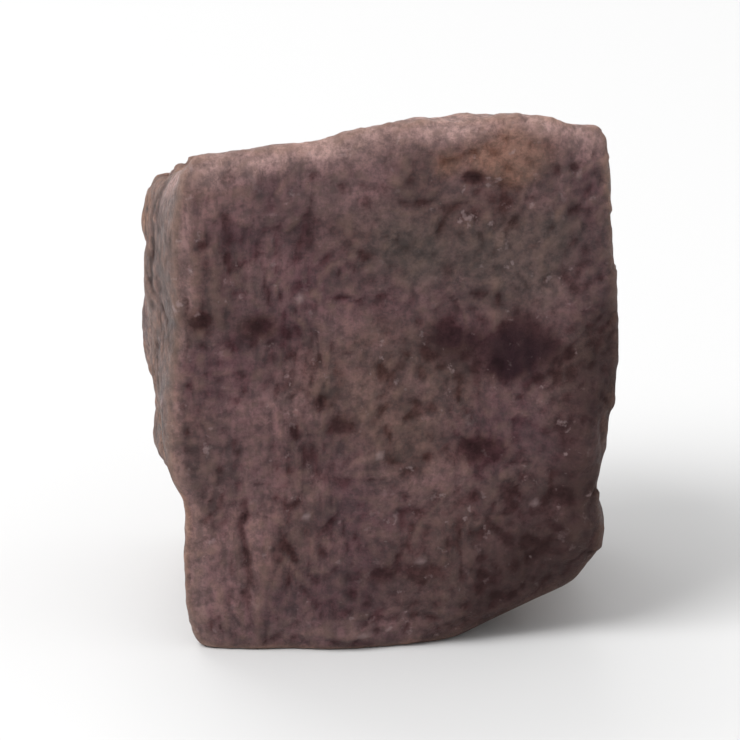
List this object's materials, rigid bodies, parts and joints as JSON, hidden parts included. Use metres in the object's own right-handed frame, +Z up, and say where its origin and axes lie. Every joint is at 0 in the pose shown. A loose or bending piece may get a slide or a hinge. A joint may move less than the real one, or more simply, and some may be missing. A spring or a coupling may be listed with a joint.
{
  "type": "dried venison cube",
  "caption": "Bite-sized cube of air-dried venison: one flat knife-cut face, shrunken and folded sides, a stepped top edge and a flat underside.",
  "frame": {"origin": "middle of the footprint's bounding box, on the plane that the piece lies on", "axes": "+X to the right along the cut front, +Y from the cut front to the back, +Z up along the muscle fibres"},
  "size_m": [0.0206, 0.0182, 0.0244],
  "materials": {
    "dried_meat": "dark purple-brown dried muscle, matt to faintly satin, wrinkled and pitted"
  },
  "bodies": {
    "root": {"venison_cube": "dried_meat"}
  },
  "joints": []
}
